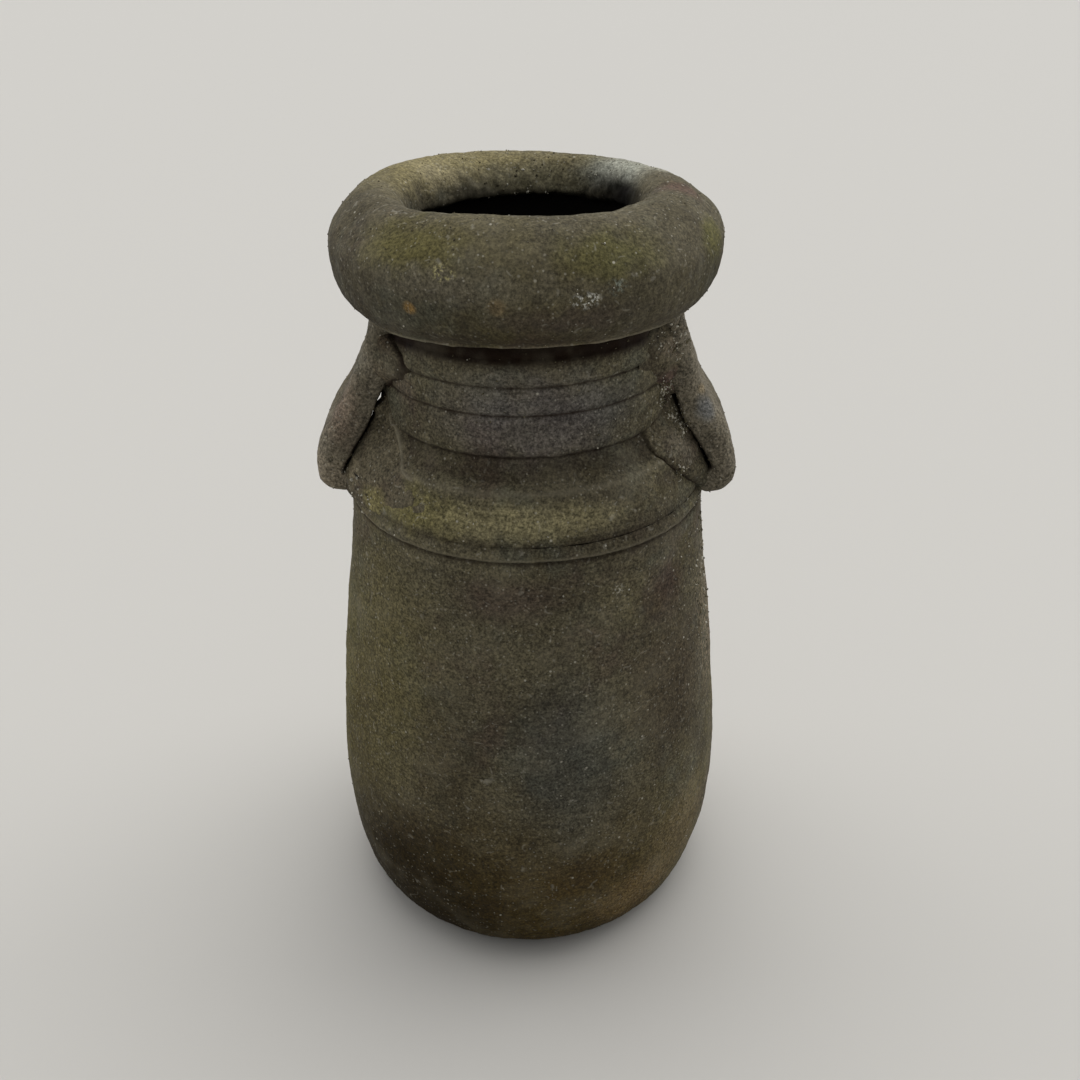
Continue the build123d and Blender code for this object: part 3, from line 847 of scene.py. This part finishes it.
flankHalf, strapHalf = 18.0, 20.0  # half the width that a pad is lifted over, and the strap's
bodyKnots = np.array([(beltRadius + 0.3, beltMiddle), (beltRadius - 0.6, beltTop + 0.7), *shoulder["slope"],
                      shoulder["ridge"], *shoulder["cove"], (shoulder["top"], neckFoot),
                      (neck["radius"] + 0.2, neckFoot + 1.5),
                      (neck["radius"] - 0.6, neck["lines"][-1] - 0.5), neck["recess"], neck["seat"]])


def makeLuting(name, pad, seed):
    # Rows by height, columns by angle from the lug's middle. The radius starts a little inside the jar's
    # skin and is lifted: fully as far as the lug's flank, then falling to nothing at the pad's edge, as
    # (1 - t) squared where feathered or the square root of (1 - t squared) where blunt. The ring of each row
    # closes inside the wall.
    heights = np.linspace(pad["low"], pad["high"], 96)[:, None]
    skin = np.interp(heights, bodyKnots[:, 1], bodyKnots[:, 0])
    wall = np.interp(heights, *np.transpose(pad["wall"]))
    if not pad["bowed"]:
        wall = wall + ownShift(pad["side"], 0, heights)
    front, back = (np.radians(np.interp(heights, *np.transpose(pad[edge]))) for edge in ("front", "back"))
    columns = 151
    v = np.linspace(-1, 1, columns)[None]
    along = np.concatenate([heights * 0, heights * 0, heights], 1)
    ragged = 1 + pad["ragged"] * (clayNoise(along, 6, seed) + clayNoise(along, 2.5, seed + 1))[:, None]
    edge = np.where(v < 0, front, back) * ragged
    angle = v * edge
    flank = np.arctan2(flankHalf, wall)
    within = np.minimum(abs(angle), flank)
    bow = slitBow(heights) if pad["bowed"] else lug["outerBow"]
    lifted = (wall + bow * (1 - (wall * np.tan(within) / strapHalf) ** 2)) / np.cos(within)
    lifted = lifted - pad.get("dip", 0.0) * ease(angle, -0.8 * flank, -0.35 * flank)
    if "crumb" in pad:
        height, reach, amount = pad["crumb"]
        lifted = lifted + amount * hill(heights, height, reach) * hill(angle, -0.85 * flank, 0.05)
    t = np.clip((abs(angle) - flank) / np.maximum(edge - flank, 0.02), 0, 1)
    blunt = np.where(v < 0, np.interp(heights, *np.transpose(pad["blunt"])), 0.12)
    fall = blunt * np.sqrt(1 - t ** 2) + (1 - blunt) * (1 - t) ** 2
    ends = ease(heights, pad["low"], pad["low"] + pad["lead"])
    ends = ends * (1 - ease(heights, pad["high"] - pad["lead"], pad["high"]))
    radius = skin - sunk + fall * ends * np.maximum(lifted - skin + sunk, 0)
    line = np.zeros(radius.shape)
    if "smear" in pad:
        knots = smoothLine(pad["smear"], 160)
        away = np.hypot(heights[..., None] - knots[:, 0],
                        (-angle[..., None] - np.radians(knots[:, 1])) * skin[..., None]).min(-1)
        line = hill(away + 0.25 * clayNoise(along, 5, 71)[:, None], 0, 0.5) * ease(heights, 169, 176)
        radius = radius + 0.4 * line
    inner = np.linspace(0.9, -0.9, 14)[None]
    angles = np.concatenate([angle, np.where(inner < 0, front, back) * inner], 1)
    radii = np.concatenate([radius, np.broadcast_to(skin - 3.5, (len(heights), 14))], 1)
    azimuth = pad["side"] * (np.pi / 2 + angles)
    grid = np.stack([radii * np.sin(azimuth), -radii * np.cos(azimuth), heights + 0 * radii], -1)
    grid, marks = weather(grid, False, lutingRough, seed)
    # painted shade along the pad's front edge, where it meets the skin
    edgeShade = hill(radius - skin, 0.2, 0.7) * (angle < -flank) * ease(heights, 168, 172)
    marks["worn"][:, :columns] = np.clip(marks["worn"][:, :columns] + 0.5 * line, 0, 1)
    marks["hollow"][:, :columns] = np.clip(marks["hollow"][:, :columns] + pad["paintedShade"] * edgeShade, 0, 1)
    # painted shade: the pad under the lug, in the slit, is darkened
    if pad["bowed"]:
        slit = (abs(angle) < flank * 0.95) * ease(heights, 173, 178)
        marks["hollow"][:, :columns] = np.clip(marks["hollow"][:, :columns] + 0.8 * slit, 0, 1)
    return finishPiece(surfacePiece(name, grid, False, marks), lutingClay, "luting_clay", pad["node"])


for seed, (name, pad) in enumerate(luting.items(), 41):
    makeLuting(name + "Luting", pad, seed)

# Sand grains standing out of the skin, thick where the luting was pressed on.

grains = {
    "count": 6000, "size": (0.15, 0.32, 0.75), "sink": 0.05, "paleShare": 0.12, "grittyPale": 0.55,
    "dustAndShade": 0.6,
    # x, y, z, reach and how many times thicker the grains lie there
    "gritty": [(43.5, -22, 203.5, 3.5, 90), (47, -21, 196, 2.2, 200), (49, -21, 191, 2.2, 200),
               (48, -29, 180, 3, 50), (46, -18, 222, 8, 18), (62, -20, 130, 20, 8), (62, -14, 150, 16, 8),
               (0, 33, 251, 14, 6), (-52, -26, 172, 8, 6)],
}


def makeGrains():
    # An icosahedron for each grain, turned at random, scaled and half sunk at a point of a finished skin;
    # the points are drawn by chance, more often in the gritty places.
    random = np.random.default_rng(7)
    points, outward = (np.concatenate(part) for part in zip(*skins))
    chance, gritty = np.ones(len(points)), np.zeros(len(points))
    for x, y, z, reach, times in grains["gritty"]:
        near = hill(np.linalg.norm(points - (x, y, z), axis=-1), 0, reach)
        chance += times * near
        gritty = np.maximum(gritty, near)
    chance = chance * (points[:, 2] > 1.0)
    picked = random.choice(len(points), grains["count"], replace=False, p=chance / chance.sum())
    golden = (1 + 5 ** 0.5) / 2
    corners = np.array([(s, t * golden, 0) for s in (-1, 1) for t in (-1, 1)])
    corners = np.concatenate([np.roll(corners, shift, axis=1) for shift in range(3)]) / math.hypot(1, golden)
    gaps = np.linalg.norm(corners[:, None] - corners[None], axis=-1)
    near = gaps < 1.1
    faces = np.array([(i, j, k) for i in range(12) for j in range(i + 1, 12) for k in range(j + 1, 12)
                      if near[i, j] and near[j, k] and near[i, k]])
    a, b, c = corners[faces[:, 0]], corners[faces[:, 1]], corners[faces[:, 2]]
    inward = np.einsum("ij,ij->i", np.cross(b - a, c - a), a) < 0
    faces[inward] = faces[inward][:, ::-1]
    turns = np.linalg.qr(random.normal(size=(grains["count"], 3, 3)))[0]
    turns *= np.sign(np.linalg.det(turns))[:, None, None]
    least, most, grittyMost = grains["size"]
    most = most + (grittyMost - most) * gritty[picked]
    size = least + (most - least) * random.random(grains["count"]) ** 2.5
    stretch = 1 + 0.35 * random.normal(size=(grains["count"], 1, 3)).clip(-1.5, 1.5)
    shapes = (corners * stretch) @ turns * size[:, None, None]
    centres = points[picked] + outward[picked] * (size * grains["sink"])[:, None]
    allPoints = (shapes + centres[:, None]).reshape(-1, 3)
    allFaces = (faces[None] + 12 * np.arange(grains["count"])[:, None, None]).reshape(-1, 3)
    share = grains["paleShare"] + (grains["grittyPale"] - grains["paleShare"]) * gritty[picked]
    pale = (random.random(grains["count"]) < share) * (0.5 + 0.5 * random.random(grains["count"]))
    marks = {"worn": np.repeat(pale, 12), "dustAndShade": np.full(len(allPoints), grains["dustAndShade"])}
    return finishPiece(layMesh("sandGrains", allPoints, [allFaces], marks), sandClay, "luting_clay")


sandClay = clayMaterial("sandClay", {**clayLook, "sand": "#cbc6b6", "specks": [], "clouds": []})
makeGrains()

# Studio: pale floor, soft light and the camera.

studio = {
    "floor": "#cfccc6", "floorSize": 16.0, "sky": 0.34, "skyColour": "#f3f5f7",
    # where the light comes from, strength and how wide it is in degrees
    "suns": {"topSun": ((0.1, 0.45, 1.0), 1.9, 70), "rightSun": ((1.0, 0.4, 0.32), 0.85, 45),
             "leftSun": ((-1.0, 0.4, 0.3), 0.85, 45)},
    "eye": (4.6, -333.7, 335.4), "lookDown": 30.64, "lens": 36.03,
}


def makeStudio():
    # A large square floor at z = 0, a pale even sky and wide soft suns.
    half = studio["floorSize"] / 2
    mesh = bpy.data.meshes.new("studioFloor")
    corners = [(-half, -half, 0), (half, -half, 0), (half, half, 0), (-half, half, 0)]
    mesh.from_pydata(corners, [], [(0, 1, 2, 3)])
    paper = bpy.data.materials.new("paleFloor")
    paper.use_nodes = True
    shader = paper.node_tree.nodes["Principled BSDF"]
    shader.inputs["Base Color"].default_value = linear(studio["floor"])
    shader.inputs["Roughness"].default_value = 0.9
    mesh.materials.append(paper)
    newObject("studioFloor", mesh)
    world = bpy.data.worlds.new("studioSky")
    world.use_nodes = True
    sky = world.node_tree.nodes["Background"].inputs
    sky["Color"].default_value = linear(studio["skyColour"])
    sky["Strength"].default_value = studio["sky"]
    bpy.context.scene.world = world
    for name, (way, strength, width) in studio["suns"].items():
        light = bpy.data.lights.new(name, "SUN")
        light.energy, light.angle = strength, math.radians(width)
        sun = newObject(name, light)
        sun.rotation_euler = Vector([-c for c in way]).to_track_quat("-Z", "Y").to_euler()


makeStudio()
lens = bpy.data.cameras.new("camera")
lens.lens, lens.sensor_width, lens.sensor_fit = studio["lens"], 36.0, "HORIZONTAL"
lens.clip_start = 0.01
camera = newObject("camera", lens)
camera.location = [c * mm for c in studio["eye"]]
camera.rotation_euler = (math.radians(90 - studio["lookDown"]), 0, 0)
bpy.context.scene.camera = camera
bpy.context.scene.view_settings.view_transform = "Standard"
